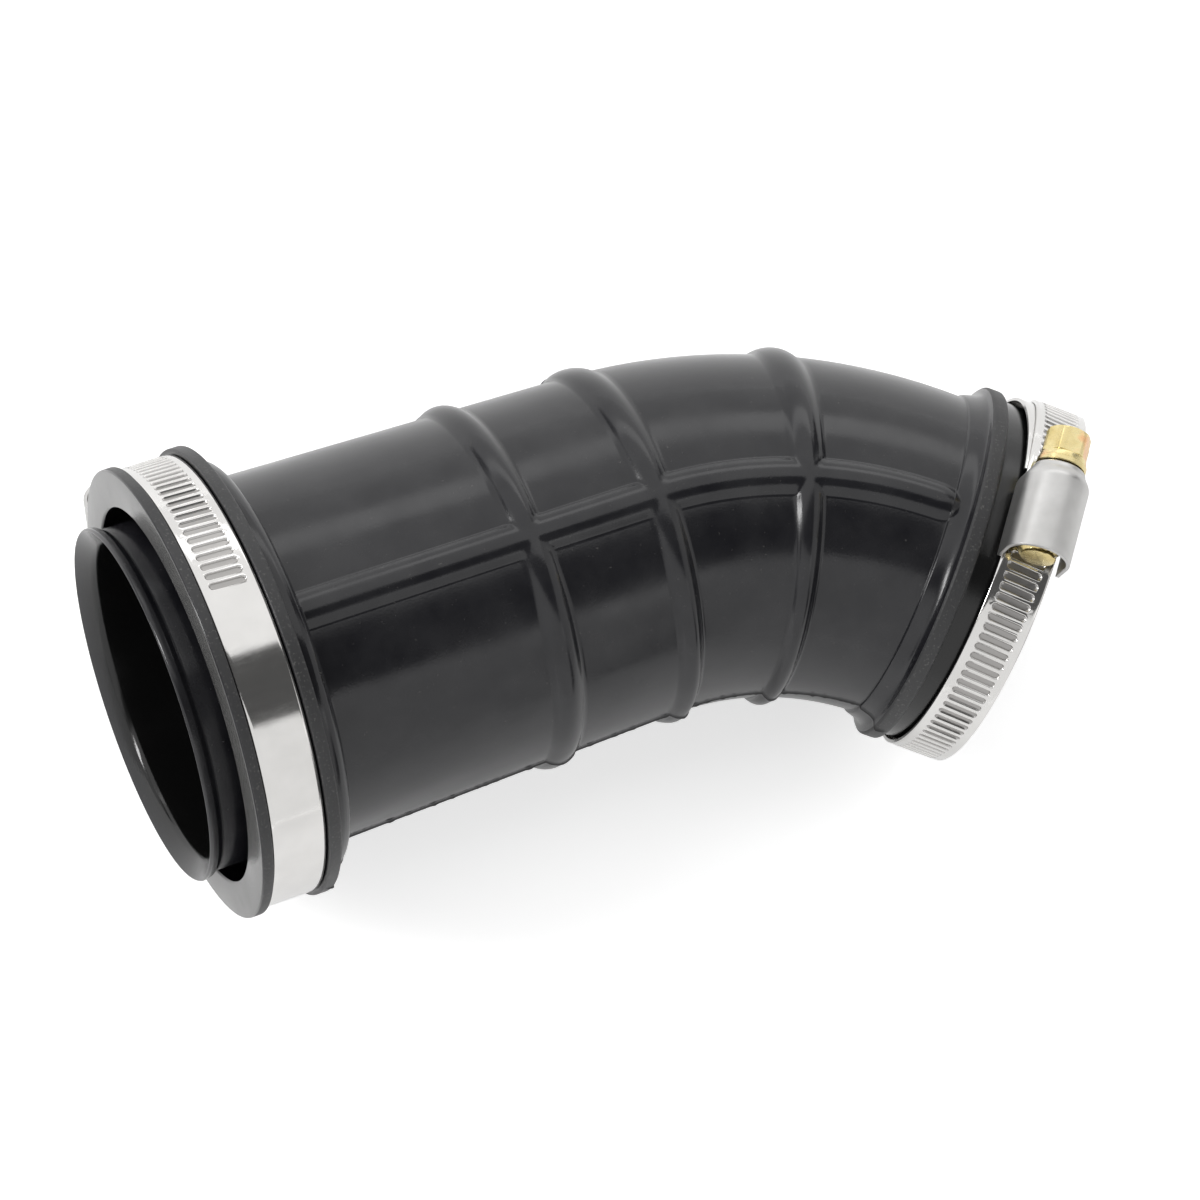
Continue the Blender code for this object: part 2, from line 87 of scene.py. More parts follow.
mounts = {mount["name"]: mount for mount in frame["record"]["mounts"]}
straight_way = -Vector(mounts["airbox_collar_face"]["axis"]).normalized()
cuff_way = Vector(mounts["carb_cuff_face"]["axis"]).normalized()
seen_side = cuff_way.cross(straight_way).normalized()
bend_outside = seen_side.cross(straight_way)
face_middle = 0.5 * (SLOT_OUTER_RADIUS + COLLAR_RADIUS - EDGE_BREAK)
boot_axes = Matrix((straight_way, bend_outside, seen_side)).transposed().to_4x4()
boot_axes.translation = Vector(mounts["airbox_collar_face"]["pos_m"]) - seen_side * face_middle / 1000
print("boot origin in mm:", [round(1000 * x, 2) for x in boot_axes.translation])


# %% [markdown]
# ## Helpers for points and meshes
# Nearly every piece here is a grid of points joined by quads: a section carried along a line, or
# round an axis. So a few short helpers place the points, join them and make the object.

# %% A few helpers for points and meshes
def placed(points, axes):
    """Points in millimetres on some axes, turned into metres in the world."""
    matrix = np.array(axes)
    return np.asarray(points, float) / 1000 @ matrix[:3, :3].T + matrix[:3, 3]


def grid_faces(rows, columns, close_rows, close_columns):
    """Quads over a grid of points, joined end to end where asked."""
    row = np.arange(rows if close_rows else rows - 1)
    column = np.arange(columns if close_columns else columns - 1)
    r, c = np.meshgrid(row, column, indexing="ij")
    r2, c2 = (r + 1) % rows, (c + 1) % columns
    quads = np.stack([r * columns + c, r * columns + c2, r2 * columns + c2, r2 * columns + c], -1)
    return quads.reshape(-1, 4)


def make_piece(name, points, faces, sharp=40):
    """A mesh object with its faces outward and smooth shading up to an angle."""
    mesh = bpy.data.meshes.new(name)
    mesh.from_pydata([tuple(p) for p in points], [], [tuple(f) for f in faces])
    work = bmesh.new()
    work.from_mesh(mesh)
    bmesh.ops.recalc_face_normals(work, faces=work.faces[:])
    work.to_mesh(mesh)
    work.free()
    mesh.shade_smooth()
    mesh.set_sharp_from_angle(angle=math.radians(sharp))
    piece = bpy.data.objects.new(name, mesh)
    bpy.context.scene.collection.objects.link(piece)
    return piece


def waver(x, seed, *periods):
    """A smooth, repeatable unevenness between about -1 and 1."""
    total = 0
    for i, period in enumerate(periods):
        total = total + np.sin(2 * math.pi * (x / period + 0.37 * seed * (i + 1)))
    return total / len(periods)


# %% [markdown]
# ## The centre line
# The duct runs straight, bends once on a circle, and runs straight again. A function that gives
# the point and the directions at any distance along that line is all a sweep needs.
# A curve object with a bevel could make a plain pipe, but not the collar, the slot and the ribs.


# %% Centre line of the duct
def along(distance):
    """Point on the centre line, the way forward, and the way to the outside of the bend."""
    s = np.asarray(distance, float)
    bend = np.clip((s - STRAIGHT_LENGTH) / BEND_RADIUS, 0, BEND_ANGLE)
    before = np.minimum(s, STRAIGHT_LENGTH)
    after = np.maximum(s - BEND_END, 0)
    x = before + BEND_RADIUS * np.sin(bend) + after * np.cos(bend)
    y = -BEND_RADIUS * (1 - np.cos(bend)) - after * np.sin(bend)
    flat = np.zeros_like(x)
    centre = np.stack([x, y, flat], -1)
    forward = np.stack([np.cos(bend), -np.sin(bend), flat], -1)
    outside = np.stack([np.sin(bend), np.cos(bend), flat], -1)
    return centre, forward, outside


def duct_radius(s):
    """Outer radius of the plain wall, which tapers to the carburetor end."""
    return 32.1 + (28.3 - 32.1) * s / FLANGE_FACE


print("centre line ends at", np.round(along(CUFF_END)[0], 1))

# %% [markdown]
# ## The boot's section
# One closed outline describes the whole wall: the collar's face, the clamp groove, the bead and
# the shoulder, the long duct, the flange and the cuff, then back through the bore, out round the
# flared sleeve and down into the ring slot. Each corner has its own small radius, because moulded
# rubber has no sharp corners and those radii are what catch the light.

# %% Corners of the section: distance, radius, fillet
LIP_END = 2.0
GROOVE_END = 11.6
BEAD_END = 13.8
GROOVE_FLOOR = COLLAR_RADIUS - 1.7
SHOULDER_RADIUS = 35.7
SHOULDER_END = 17.2
SHOULDER_ROUND = 2.4
DUCT_START = 17.5
FLANGE_RADIUS = 31.6
RIM_FACE = FLANGE_FACE - 1.5
FLANGE_BACK = RIM_FACE - 2.8
NECK_START = FLANGE_BACK - 3.4
NECK_STEP = 0.45
NECK_FOOT = duct_radius(NECK_START)
NECK_RADIUS = NECK_FOOT + 1.1
FLARE_LENGTH = 1.1
FLARE = FLANGE_RADIUS - EDGE_BREAK - NECK_RADIUS
CUFF_RADIUS = 30.3
CUFF_BORE = 26.3
SLEEVE_RADIUS = 29.4
SLEEVE_BORE = 26.9
SLEEVE_REACH = 5.6
SLEEVE_LIP = 30.35
SLOT_DEPTH_IN_COLLAR = 10.5
WALL = 3.3

outer_corners = [
    (0.0, SLOT_OUTER_RADIUS, 0.45),
    (0.0, COLLAR_RADIUS, EDGE_BREAK),
    (LIP_END, COLLAR_RADIUS, 0.3),
    (LIP_END, GROOVE_FLOOR, 0.15),
    (GROOVE_END, GROOVE_FLOOR, 0.15),
    (GROOVE_END, COLLAR_RADIUS, 0.3),
    (BEAD_END, COLLAR_RADIUS, 0.45),
    (BEAD_END + 0.05, SHOULDER_RADIUS, EDGE_BREAK),
]
for turn in np.linspace(0, math.pi / 2, 7):
    back = SHOULDER_ROUND * (1 - math.sin(turn))
    drop = SHOULDER_ROUND * (1 - math.cos(turn))
    outer_corners.append((SHOULDER_END - back, SHOULDER_RADIUS - drop, 0.2))
outer_corners += [
    (SHOULDER_END + 0.05, duct_radius(DUCT_START), 0.3),
    (NECK_START, NECK_FOOT, 0.15),
    (NECK_START + 0.22, NECK_FOOT + NECK_STEP, 0.2),
    (FLANGE_BACK - FLARE_LENGTH, NECK_RADIUS, 0.5),
    (FLANGE_BACK - 0.3 * FLARE_LENGTH, NECK_RADIUS + 0.3 * FLARE, 0.35),
    (FLANGE_BACK, FLANGE_RADIUS - EDGE_BREAK, 0.08),
    (FLANGE_BACK + EDGE_BREAK, FLANGE_RADIUS, 0.15),
    (RIM_FACE, FLANGE_RADIUS, 0.8),
    (RIM_FACE, CUFF_RADIUS, 0.3),
    (CUFF_END, CUFF_RADIUS, 0.5),
]
inner_corners = [
    (CUFF_END, CUFF_BORE, 0.6),
    (FLANGE_FACE, CUFF_BORE, 2.0),
    (BEND_END, duct_radius(BEND_END) - WALL, 4.0),
    (STRAIGHT_LENGTH, duct_radius(STRAIGHT_LENGTH) - WALL, 3.0),
    (DUCT_START + 6.0, duct_radius(DUCT_START) - WALL, 3.0),
    (12.0, SLEEVE_BORE, 2.0),
    (2.4 - SLEEVE_REACH, SLEEVE_BORE, 0.8),
    (-SLEEVE_REACH, SLEEVE_LIP - EDGE_BREAK, 0.15),
    (EDGE_BREAK - SLEEVE_REACH, SLEEVE_LIP, 0.15),
    (1.6 - SLEEVE_REACH, SLEEVE_LIP - 0.25, 0.3),
    (2.3 - SLEEVE_REACH, SLEEVE_RADIUS, 0.8),
    (SLOT_DEPTH_IN_COLLAR, SLEEVE_RADIUS, 0.7),
    (SLOT_DEPTH_IN_COLLAR, SLOT_OUTER_RADIUS, 0.7),
]


def rounded_outline(corners, steps=5):
    """The closed outline with each corner turned into a short curve of its fillet."""
    points = []
    flat = np.array([c[:2] for c in corners])
    for i, (s, r, fillet) in enumerate(corners):
        corner = flat[i]
        back = flat[i - 1] - corner
        ahead = flat[(i + 1) % len(flat)] - corner
        reach = min(fillet, 0.48 * np.linalg.norm(back), 0.48 * np.linalg.norm(ahead))
        start = corner + back / np.linalg.norm(back) * reach
        end = corner + ahead / np.linalg.norm(ahead) * reach
        for t in np.linspace(0, 1, steps):
            points.append((1 - t) ** 2 * start + 2 * t * (1 - t) * corner + t * t * end)
    return np.array(points)


def refined(outline, longest):
    """The outline with extra points, so that no step from a to b is longer than longest(a, b)."""
    points = []
    for i, a in enumerate(outline):
        b = outline[(i + 1) % len(outline)]
        count = max(1, math.ceil(np.linalg.norm(b - a) / longest(a, b)))
        points += [a + (b - a) * k / count for k in range(count)]
    return np.array(points)


def longest_step(a, b):
    """Fine steps on the ribbed outside of the duct, coarser ones in the bore."""
    outside = min(a[1], b[1]) > 27.5 and min(a[0], b[0]) > 17
    return 0.55 if outside else 3.0


section = refined(rounded_outline(outer_corners + inner_corners), longest_step)
print("points round the section:", len(section))

# %% [markdown]
# ## Ribs and the mould's parting line
# Three hoops and one long rib down each side stiffen the thin wall. They are moulded with it, so
# they are a height added to the swept radius, not separate rings. Their sides are full and their
# feet are crisp, which is what draws the bright lines along them. A thin fin of flash stands
# where the two halves of the mould met.

# %% Height of the ribs and of the flash above the wall
HOOPS = (57.6, 80.6, 106.9)
HOOP_HALF_WIDTH = 2.6
LONG_RIB_HALF_WIDTH = 3.1
LONG_RIB_NOSE = 5.0
RIB_HEIGHT = 1.35
RIB_FULLNESS = 0.85
FIN_HALF_WIDTH = 0.16


def ridge(offset, half_width):
    """A rounded hump, as a share of its crest."""
    share = np.minimum(np.abs(offset) / half_width, 1)
    return (1 - share**2) ** RIB_FULLNESS


def rib_height(s, angle):
    """Height of hoops and long ribs over the duct."""
    hoop = np.max([ridge(s - station, HOOP_HALF_WIDTH) for station in HOOPS], axis=0)
    around = (np.abs(angle) - math.pi / 2) * duct_radius(s)
    nose = 1 - np.clip((FLANGE_BACK - 0.9 - s) / LONG_RIB_NOSE, 0, 1)
    return RIB_HEIGHT * np.maximum(hoop, ridge(np.hypot(around / LONG_RIB_HALF_WIDTH, nose), 1))


def flash_height(s, angle, radius):
    """Height of the thin fin on the parting line, ragged on the inside of the bend."""
    outer = np.exp(-((angle * radius / FIN_HALF_WIDTH) ** 2)) * (0.22 + 0.06 * waver(s, 1, 9.0, 3.7))
    turned = (np.abs(angle) - math.pi) * radius
    ragged = 0.28 + 0.22 * waver(s, 2, 13.0, 5.1, 2.3) ** 2
    return outer + np.exp(-((turned / 0.18) ** 2)) * ragged


# %% [markdown]
# ## Columns round the duct
# The points round the duct stand close together only where they are needed: over the two fins
# of flash, which are a fraction of a millimetre thick, and over the two long ribs.

# %% Where the columns stand
fin_steps = np.array([-1.2, -0.45, -0.2, 0.0, 0.2, 0.45, 1.2]) / 33
rib_steps = np.linspace(-3.7, 3.7, 23) / 30 + math.pi / 2
round_steps = np.linspace(0, 2 * math.pi, 160, endpoint=False)
from_fin = np.abs(np.remainder(round_steps + math.pi / 2, math.pi) - math.pi / 2)
round_steps = round_steps[(from_fin > 0.045) & (from_fin < math.pi / 2 - 0.14)]
close_steps = np.concatenate([fin_steps, rib_steps])
columns = np.sort(np.concatenate([round_steps, close_steps, close_steps + math.pi]))
print("columns round the duct:", len(columns))

# %% [markdown]
# ## The sweep
# Each point of the section is carried round the duct, and each ring is set square to the centre
# line. The ribs and the fins are added to the radius on the outside of the duct only. Where the
# long rib runs up onto the neck, the higher of the two surfaces shows.

# %% Sweep the section along the centre line
s_grid, angle_grid = np.meshgrid(section[:, 0], columns, indexing="ij")
angle_grid = np.remainder(angle_grid + math.pi, 2 * math.pi) - math.pi
radius_grid = np.repeat(section[:, 1:2], len(columns), axis=1)
is_duct = (s_grid > SHOULDER_END + 0.04) & (s_grid < NECK_START) & (radius_grid > 27.8) & (radius_grid < 33)
radius_grid = radius_grid + np.where(is_duct, rib_height(s_grid, angle_grid), 0)
is_neck = (s_grid >= NECK_START) & (s_grid < FLANGE_BACK) & (radius_grid > 28) & (radius_grid < 31)
over_neck = duct_radius(s_grid) + 1.25 * rib_height(s_grid, angle_grid)
radius_grid = np.where(is_neck, np.maximum(radius_grid, over_neck), radius_grid)
has_flash = (s_grid > 12) & (s_grid < RIM_FACE - 1) & (radius_grid > 27.8)
radius_grid = radius_grid + np.where(has_flash, flash_height(s_grid, angle_grid, radius_grid), 0)

centre, forward, outside = along(section[:, 0])
radial = outside[:, None, :] * np.cos(angle_grid)[..., None]
radial = radial + np.array([0.0, 0.0, 1.0]) * np.sin(angle_grid)[..., None]
boot_points = centre[:, None, :] + radius_grid[..., None] * radial
boot_skin = make_piece(
    "moulded_boot",
    placed(boot_points.reshape(-1, 3), boot_axes),
    grid_faces(len(section), len(columns), True, True),
    65,
)
print("triangles in the boot:", 2 * len(boot_skin.data.polygons))

# %% [markdown]
# ## Marks for the rubber's finish
# The rubber isn't equally glossy all over. The skin carries four values that the finish reads:
# the dull rims, the fins, painted shade in the bore and round the cuff, and a painted sheen on the collar's face.

# %% Mark the skin and hand it over
is_rim = (radius_grid > 37.6) & (s_grid > 0.2) | (radius_grid > 31.0) & (s_grid > FLANGE_BACK)
fin = np.where(has_flash, flash_height(s_grid, angle_grid, radius_grid), 0)
# The collar's face gets a painted sheen in the finish: lighter grey that stands in for its reflection.
is_face = (s_grid < 0.05) & (s_grid > -0.05) & (radius_grid > 32.4)
# Painted shade: the bore, and the cuff in the gap under the loose clamp, are marked to be painted near black.
in_painted_shade = radius_grid < np.where(s_grid > 17, 27.6, 29.0)
in_painted_shade = in_painted_shade | (s_grid > RIM_FACE - 0.05) & (radius_grid < 31.0)
masks = {"matte": is_rim, "fin": np.clip(4 * fin, 0, 1), "inside": in_painted_shade, "face": is_face}
for label, values in masks.items():
    layer = boot_skin.data.attributes.new(label, "FLOAT", "POINT")
    layer.data.foreach_set("value", values.astype(np.float32).ravel())
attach(boot_skin, "boot")
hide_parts("rubber_boot")
print("marks on the skin:", list(masks))

# %% [markdown]
# ## The clamps' places
# Both clamps are the same hardware in two sizes. The collar's clamp lies in its groove. The
# other is loose, stands a little proud of the cuff and leans, with a long tail still free.
# Each clamp gets axes of its own: X across the strip, and the strip winds round X.

# %% Where each clamp sits
BAND_WIDTH = 9.0
BAND_THICKNESS = 0.6
BAND_PITCH = 0.7
HOUSING_LENGTH = 16.4
THREAD_CREST = 3.5
SCREW_RING = 4.05
SCREW_PLAY = 0.3
BAND_PLAY = 0.3
CARB_LEAN = math.radians(1.6)
CARB_BAND_INNER = CUFF_RADIUS + 0.7
COLLAR_BAND_INNER = GROOVE_FLOOR + BAND_PLAY


def line_axes(s):
    """Axes on the centre line at a distance along it."""
    at, ahead, out = (Vector(v) for v in along(s))
    axes = Matrix((ahead, out, ahead.cross(out))).transposed().to_4x4()
    axes.translation = at / 1000
    return axes


lean_reach = (CARB_BAND_INNER + BAND_THICKNESS) * math.sin(CARB_LEAN)
carb_middle = FLANGE_FACE + BAND_PLAY + lean_reach + 0.5 * BAND_WIDTH
carb_lift = Matrix.Translation((0, 0, 0.4 / 1000))
clamps = {
    "collar_clamp": {
        "axes": boot_axes @ line_axes(LIP_END + BAND_PLAY + 0.5 * BAND_WIDTH),
        "inner": COLLAR_BAND_INNER,
        "housing_angle": math.radians(-35.0),
        "foot": COLLAR_RADIUS + BAND_PLAY - COLLAR_BAND_INNER - BAND_THICKNESS,
        "tail": 24.0,
        "drift": 0.0,
        "pressed": (-1.1, math.radians(81)),
    },
    "carb_clamp": {
        "axes": boot_axes @ line_axes(carb_middle) @ carb_lift @ Matrix.Rotation(CARB_LEAN, 4, "Y"),
        "inner": CARB_BAND_INNER,
        "housing_angle": math.radians(88.0),
        "foot": 0.0,
        "tail": 37.0,
        "drift": 4.0,
        "pressed": (-1.1, math.radians(205)),
    },
}


def screw_height(band_radius):
    """Height of the screw's axis over the strip, clear of the strip and of its tail."""
    drop = band_radius - math.sqrt(band_radius**2 - (0.5 * HOUSING_LENGTH) ** 2)
    over_strip = THREAD_CREST + SCREW_PLAY + 0.5 * BAND_PITCH
    over_tail = SCREW_RING + SCREW_PLAY + BAND_PITCH - drop
    return max(over_strip, over_tail)


def housing_axes(clamp):
    """Axes of a screw housing: X to the screw's head, Z outward, origin on the strip."""
    turn = clamp["housing_angle"]
    out = Vector((0, math.cos(turn), math.sin(turn)))
    headward = Vector((0, math.sin(turn), -math.cos(turn)))
    axes = Matrix((headward, out.cross(headward), out)).transposed().to_4x4()
    axes.translation = out * (clamp["inner"] + BAND_THICKNESS) / 1000
    return clamp["axes"] @ axes


def screw_seat(clamp):
    """The screw's place on its housing's axes: at the housing's mouth, over the strip."""
    return Vector((0.5 * HOUSING_LENGTH, 0, screw_height(clamp["inner"] + BAND_THICKNESS))) / 1000


for joint in frame["joints"]:
    clamp = clamps[joint["child"].replace("_screw", "")]
    pivot = housing_axes(clamp) @ screw_seat(clamp)
    print(joint["name"], "is off its axis by", round(1000 * (pivot - Vector(joint["pos_m"])).length, 3), "mm")

# %% [markdown]
# ## The slotted bands
# A worm-drive band is pressed with a row of slanted slots, one for each turn of the thread. Two
# small tiles, one pressed and one plain, are laid end to end on a straight line by Geometry Nodes
# and then wrapped round a guide curve. The tiles repeat exactly, so Geometry Nodes suits them:
# the same tree makes both bands, and the sizes are its inputs.

# %% One tile of strip, pressed or plain
SLOT_PITCH = 1.8
SLOT_LENGTH = 6.2
SLOT_WIDTH = 1.12
SLOT_DEPTH = 0.3
SLOT_RIM = 0.05
SLOT_SKEW = math.tan(math.radians(3.5))
EDGE_START = 0.5 * BAND_WIDTH - 0.05
EDGE_DROP = 0.1


def strip_tile(name, pressed):
    """A short length of strip, with X along it, Y across it and Z out of its face."""
    half = 0.5 * SLOT_PITCH
    inner_steps = np.array([0.2, 0.4, 0.5, 0.56, 0.62, 0.68, 0.75, 0.82, half])
    u_steps = np.concatenate([-inner_steps[::-1], [0.0], inner_steps])
    outer_steps = np.array([1.5, 2.4, 2.6, 2.75, 2.9, 3.0, 3.1, 3.2, 3.35, 3.9, 4.38, 4.5])
    v_steps = np.concatenate([-outer_steps[::-1], [0.0], outer_steps])
    if not pressed:
        u_steps = np.array([-half, half])
    u, v = np.meshgrid(u_steps, v_steps, indexing="ij")
    straight = 0.5 * (SLOT_LENGTH - SLOT_WIDTH)
    gap = np.hypot(u, np.maximum(np.abs(v) - straight, 0)) - 0.5 * SLOT_WIDTH
    sink = 0.5 - 0.5 * np.tanh((gap + 0.06) / 0.06)
    rim = np.exp(-(((gap - 0.1) / 0.07) ** 2))
    height = BAND_THICKNESS + (SLOT_RIM * rim - SLOT_DEPTH * sink if pressed else 0 * u)
    height = np.where(np.abs(u) > half - 0.01, BAND_THICKNESS, height)
    height = np.where(np.abs(v) > EDGE_START, BAND_THICKNESS - EDGE_DROP, height)
    slide = SLOT_SKEW * v * np.clip((half - np.abs(u)) / 0.3, 0, 1) * (np.abs(v) < 3.6)
    top = np.stack([u + slide, v, height], -1)
    rows, across = u.shape
    points = [tuple(p) for p in top.reshape(-1, 3)]
    faces = [tuple(f) for f in grid_faces(rows, across, False, False)]
    edge = [(row, side) for side in (0, across - 1) for row in range(rows)]
    lower = {}
    for row, side in edge:
        lower[row, side] = len(points)
        points.append((u_steps[row], v_steps[side], 0.0))
    for side in (0, across - 1):
        for row in range(rows - 1):
            corner = row * across + side
            faces.append((corner, corner + across, lower[row + 1, side], lower[row, side]))
    last = across - 1
    for row in range(rows - 1):
        faces.append((lower[row, 0], lower[row + 1, 0], lower[row + 1, last], lower[row, last]))
    mesh = bpy.data.meshes.new(name)
    mesh.from_pydata([tuple(0.001 * x for x in p) for p in points], [], faces)
    sunk = np.zeros(len(points), np.float32)
    if pressed:
        sunk[: sink.size] = sink.ravel()
    mesh.attributes.new("sunk", "FLOAT", "POINT").data.foreach_set("value", sunk)
    tile = bpy.data.objects.new(name, mesh)
    bpy.context.scene.collection.objects.link(tile)
    return tile


pressed_tile = strip_tile("pressed_tile", True)
plain_tile = strip_tile("plain_tile", False)
print("faces in a pressed tile:", len(pressed_tile.data.polygons))


# %% [markdown]
# ## The guide
# The strip lies over its own tail, passes up through the housing and ends free. The guide holds
# that path as one line of points: round the end of the boot, with a gentle ramp where the strip
# climbs over itself, and a sideways drift along the loose clamp's tail.

# %% The guide that a band winds round
CLIMB_LENGTH = 7.0
END_PAST_HOUSING = 0.7


def guide_points(clamp):
    """Points of the strip's inner face, from the tail's end to its fixed end, in millimetres."""
    inner = clamp["inner"]
    head = clamp["housing_angle"] - 0.5 * HOUSING_LENGTH / inner
    tail_end = head - clamp["tail"] / inner
    lap_end = head + CLIMB_LENGTH / inner
    fixed_end = head + 2 * math.pi + END_PAST_HOUSING / inner
    turns = np.linspace(tail_end, fixed_end, 500)
    lift = np.clip((lap_end - turns) / (lap_end - head), 0, 1)
    drift = np.maximum((clamp["housing_angle"] - turns) / (clamp["housing_angle"] - tail_end), 0)
    radius = inner + BAND_PITCH * lift * lift * (3 - 2 * lift)
    points = np.stack([clamp["drift"] * drift**1.6, radius * np.cos(turns), radius * np.sin(turns)], -1)
    return turns, points


def guide_curve(name, points):
    """A guide as a curve object that Geometry Nodes can sample."""
    data = bpy.data.curves.new(name, "CURVE")
    data.dimensions = "3D"
    spline = data.splines.new("POLY")
    spline.points.add(len(points) - 1)
    for point, place in zip(spline.points, points):
        point.co = (*(0.001 * place), 1.0)
    guide = bpy.data.objects.new(name, data)
    bpy.context.scene.collection.objects.link(guide)
    return guide


# %% [markdown]
# ## The wrapping tree
# The tree puts an instance of the right tile on each marked point, makes them real, and merges
# the seams. It then moves each point: its X picks a place on the guide, its Y goes across the
# strip and its Z goes outward. Setting positions this way bends the tiles without any gap.

# %% The node tree that lays tiles and wraps them
def band_tree():
    """Geometry Nodes: tiles on a line of marked points, merged, then wrapped on a guide."""
    tree = bpy.data.node_groups.new("wrapped_strip", "GeometryNodeTree")
    face = tree.interface
    face.new_socket("Geometry", in_out="INPUT", socket_type="NodeSocketGeometry")
    sockets = {"Geometry": None}
    wanted = (("Pressed tile", "Object"), ("Plain tile", "Object"), ("Guide", "Object"))
    for label, kind in wanted + (("Merge distance", "Float"), ("Steel", "Material")):
        sockets[label] = face.new_socket(label, in_out="INPUT", socket_type="NodeSocket" + kind).identifier
    face.new_socket("Geometry", in_out="OUTPUT", socket_type="NodeSocketGeometry")

    def node(kind, **settings):
        made = tree.nodes.new(kind)
        for key, value in settings.items():
            setattr(made, key, value)
        return made

    def join(source, output, target, entry):
        tree.links.new(source.outputs[output], target.inputs[entry])

    given = node("NodeGroupInput")
    marked = node("GeometryNodeInputNamedAttribute", data_type="BOOLEAN")
    marked.inputs["Name"].default_value = "pressed"
    unmarked = node("FunctionNodeBooleanMath", operation="NOT")
    join(marked, "Attribute", unmarked, 0)
    laid = node("GeometryNodeJoinGeometry")
    for label, mask in (("Pressed tile", marked), ("Plain tile", unmarked)):
        tile = node("GeometryNodeObjectInfo", transform_space="ORIGINAL")
        join(given, label, tile, "Object")
        copies = node("GeometryNodeInstanceOnPoints")
        join(given, "Geometry", copies, "Points")
        join(mask, 0, copies, "Selection")
        join(tile, "Geometry", copies, "Instance")
        join(copies, "Instances", laid, 0)
    real = node("GeometryNodeRealizeInstances")
    join(laid, "Geometry", real, "Geometry")
    merged = node("GeometryNodeMergeByDistance")
    join(real, "Geometry", merged, "Geometry")
    join(given, "Merge distance", merged, "Distance")

    guide = node("GeometryNodeObjectInfo", transform_space="ORIGINAL")
    join(given, "Guide", guide, "Object")
    place = node("GeometryNodeInputPosition")
    parts = node("ShaderNodeSeparateXYZ")
    join(place, "Position", parts, 0)
    sample = node("GeometryNodeSampleCurve", mode="LENGTH", data_type="FLOAT")
    join(guide, "Geometry", sample, "Curves")
    join(parts, "X", sample, "Length")
    flatten = node("ShaderNodeVectorMath", operation="MULTIPLY")
    flatten.inputs[1].default_value = (0, 1, 1)
    join(sample, "Position", flatten, 0)
    outward = node("ShaderNodeVectorMath", operation="NORMALIZE")
    join(flatten, 0, outward, 0)
    across = node("ShaderNodeVectorMath", operation="CROSS_PRODUCT")
    join(outward, 0, across, 0)
    join(sample, "Tangent", across, 1)
    wide = node("ShaderNodeVectorMath", operation="SCALE")
    join(across, 0, wide, 0)
    join(parts, "Y", wide, "Scale")
    high = node("ShaderNodeVectorMath", operation="SCALE")
    join(outward, 0, high, 0)
    join(parts, "Z", high, "Scale")
    shift = node("ShaderNodeVectorMath", operation="ADD")
    join(wide, 0, shift, 0)
    join(high, 0, shift, 1)
    final = node("ShaderNodeVectorMath", operation="ADD")
    join(sample, "Position", final, 0)
    join(shift, 0, final, 1)
    wrapped = node("GeometryNodeSetPosition")
    join(merged, "Geometry", wrapped, "Geometry")
    join(final, 0, wrapped, "Position")

    again = node("GeometryNodeRealizeInstances")
    join(wrapped, "Geometry", again, "Geometry")
    finish = node("GeometryNodeSetMaterial")
    join(again, "Geometry", finish, "Geometry")
    join(given, "Steel", finish, "Material")
    out = node("NodeGroupOutput")
    join(finish, "Geometry", out, 0)
    return tree, sockets


strip_tree, strip_inputs = band_tree()
print("nodes in the strip tree:", len(strip_tree.nodes))

# %% [markdown]
# ## Finishes
# Before the pieces are made they need their finishes. The rubber is near black and glossy from
# the mould, with fine specks of dust and slow changes of gloss. The strip is bright rolled
# stainless steel with lines drawn along it. The screws are zinc plated and passivated, which
# leaves a pale gold with patches of orange and olive. All are made from noise on the
# object's own coordinates, so they stay with the piece in every view.


# %% Helpers for materials
def start_material(name):
    """A Principled material and its tree."""
    material = bpy.data.materials.new(name)
    material.use_nodes = True
    return material, material.node_tree, material.node_tree.nodes["Principled BSDF"]


def noise(tree, scale, detail=4.0, stretch=(1, 1, 1), roughness=0.55):
    """Noise on object coordinates, in features per metre, stretched where asked."""
    place = tree.nodes.new("ShaderNodeTexCoord")
    mapping = tree.nodes.new("ShaderNodeMapping")
    mapping.inputs["Scale"].default_value = stretch
    made = tree.nodes.new("ShaderNodeTexNoise")
    made.inputs["Scale"].default_value = scale
    made.inputs["Detail"].default_value = detail
    made.inputs["Roughness"].default_value = roughness
    tree.links.new(place.outputs["Object"], mapping.inputs["Vector"])
    tree.links.new(mapping.outputs["Vector"], made.inputs["Vector"])
    return made.outputs["Fac"]


def ramp(tree, source, *stops):
    """A colour ramp over a value."""
    made = tree.nodes.new("ShaderNodeValToRGB")
    elements = made.color_ramp.elements
    while len(elements) < len(stops):
        elements.new(0.5)
    for element, (place, colour) in zip(elements, stops):
        element.position = place
        element.color = (*colour, 1.0) if len(colour) == 3 else colour
    tree.links.new(source, made.inputs["Fac"])
    return made.outputs["Color"]


def remap(tree, source, low, high, to_low, to_high):
    """A value moved from one range to another, and kept within it."""
    made = tree.nodes.new("ShaderNodeMapRange")
    for key, value in zip(("From Min", "From Max", "To Min", "To Max"), (low, high, to_low, to_high)):
        made.inputs[key].default_value = value
    tree.links.new(source, made.inputs["Value"])
    return made.outputs["Result"]


def marked(tree, name):
    """The value that a mesh carries under a name."""
    made = tree.nodes.new("ShaderNodeAttribute")
    made.attribute_name = name
    return made.outputs["Fac"]


def combined(tree, operation, first, second):
    """Two values put together; the second may be a plain number."""
    made = tree.nodes.new("ShaderNodeMath")
    made.operation = operation
    tree.links.new(first, made.inputs[0])
    if isinstance(second, (int, float)):
        made.inputs[1].default_value = second
    else:
        tree.links.new(second, made.inputs[1])
    return made.outputs[0]


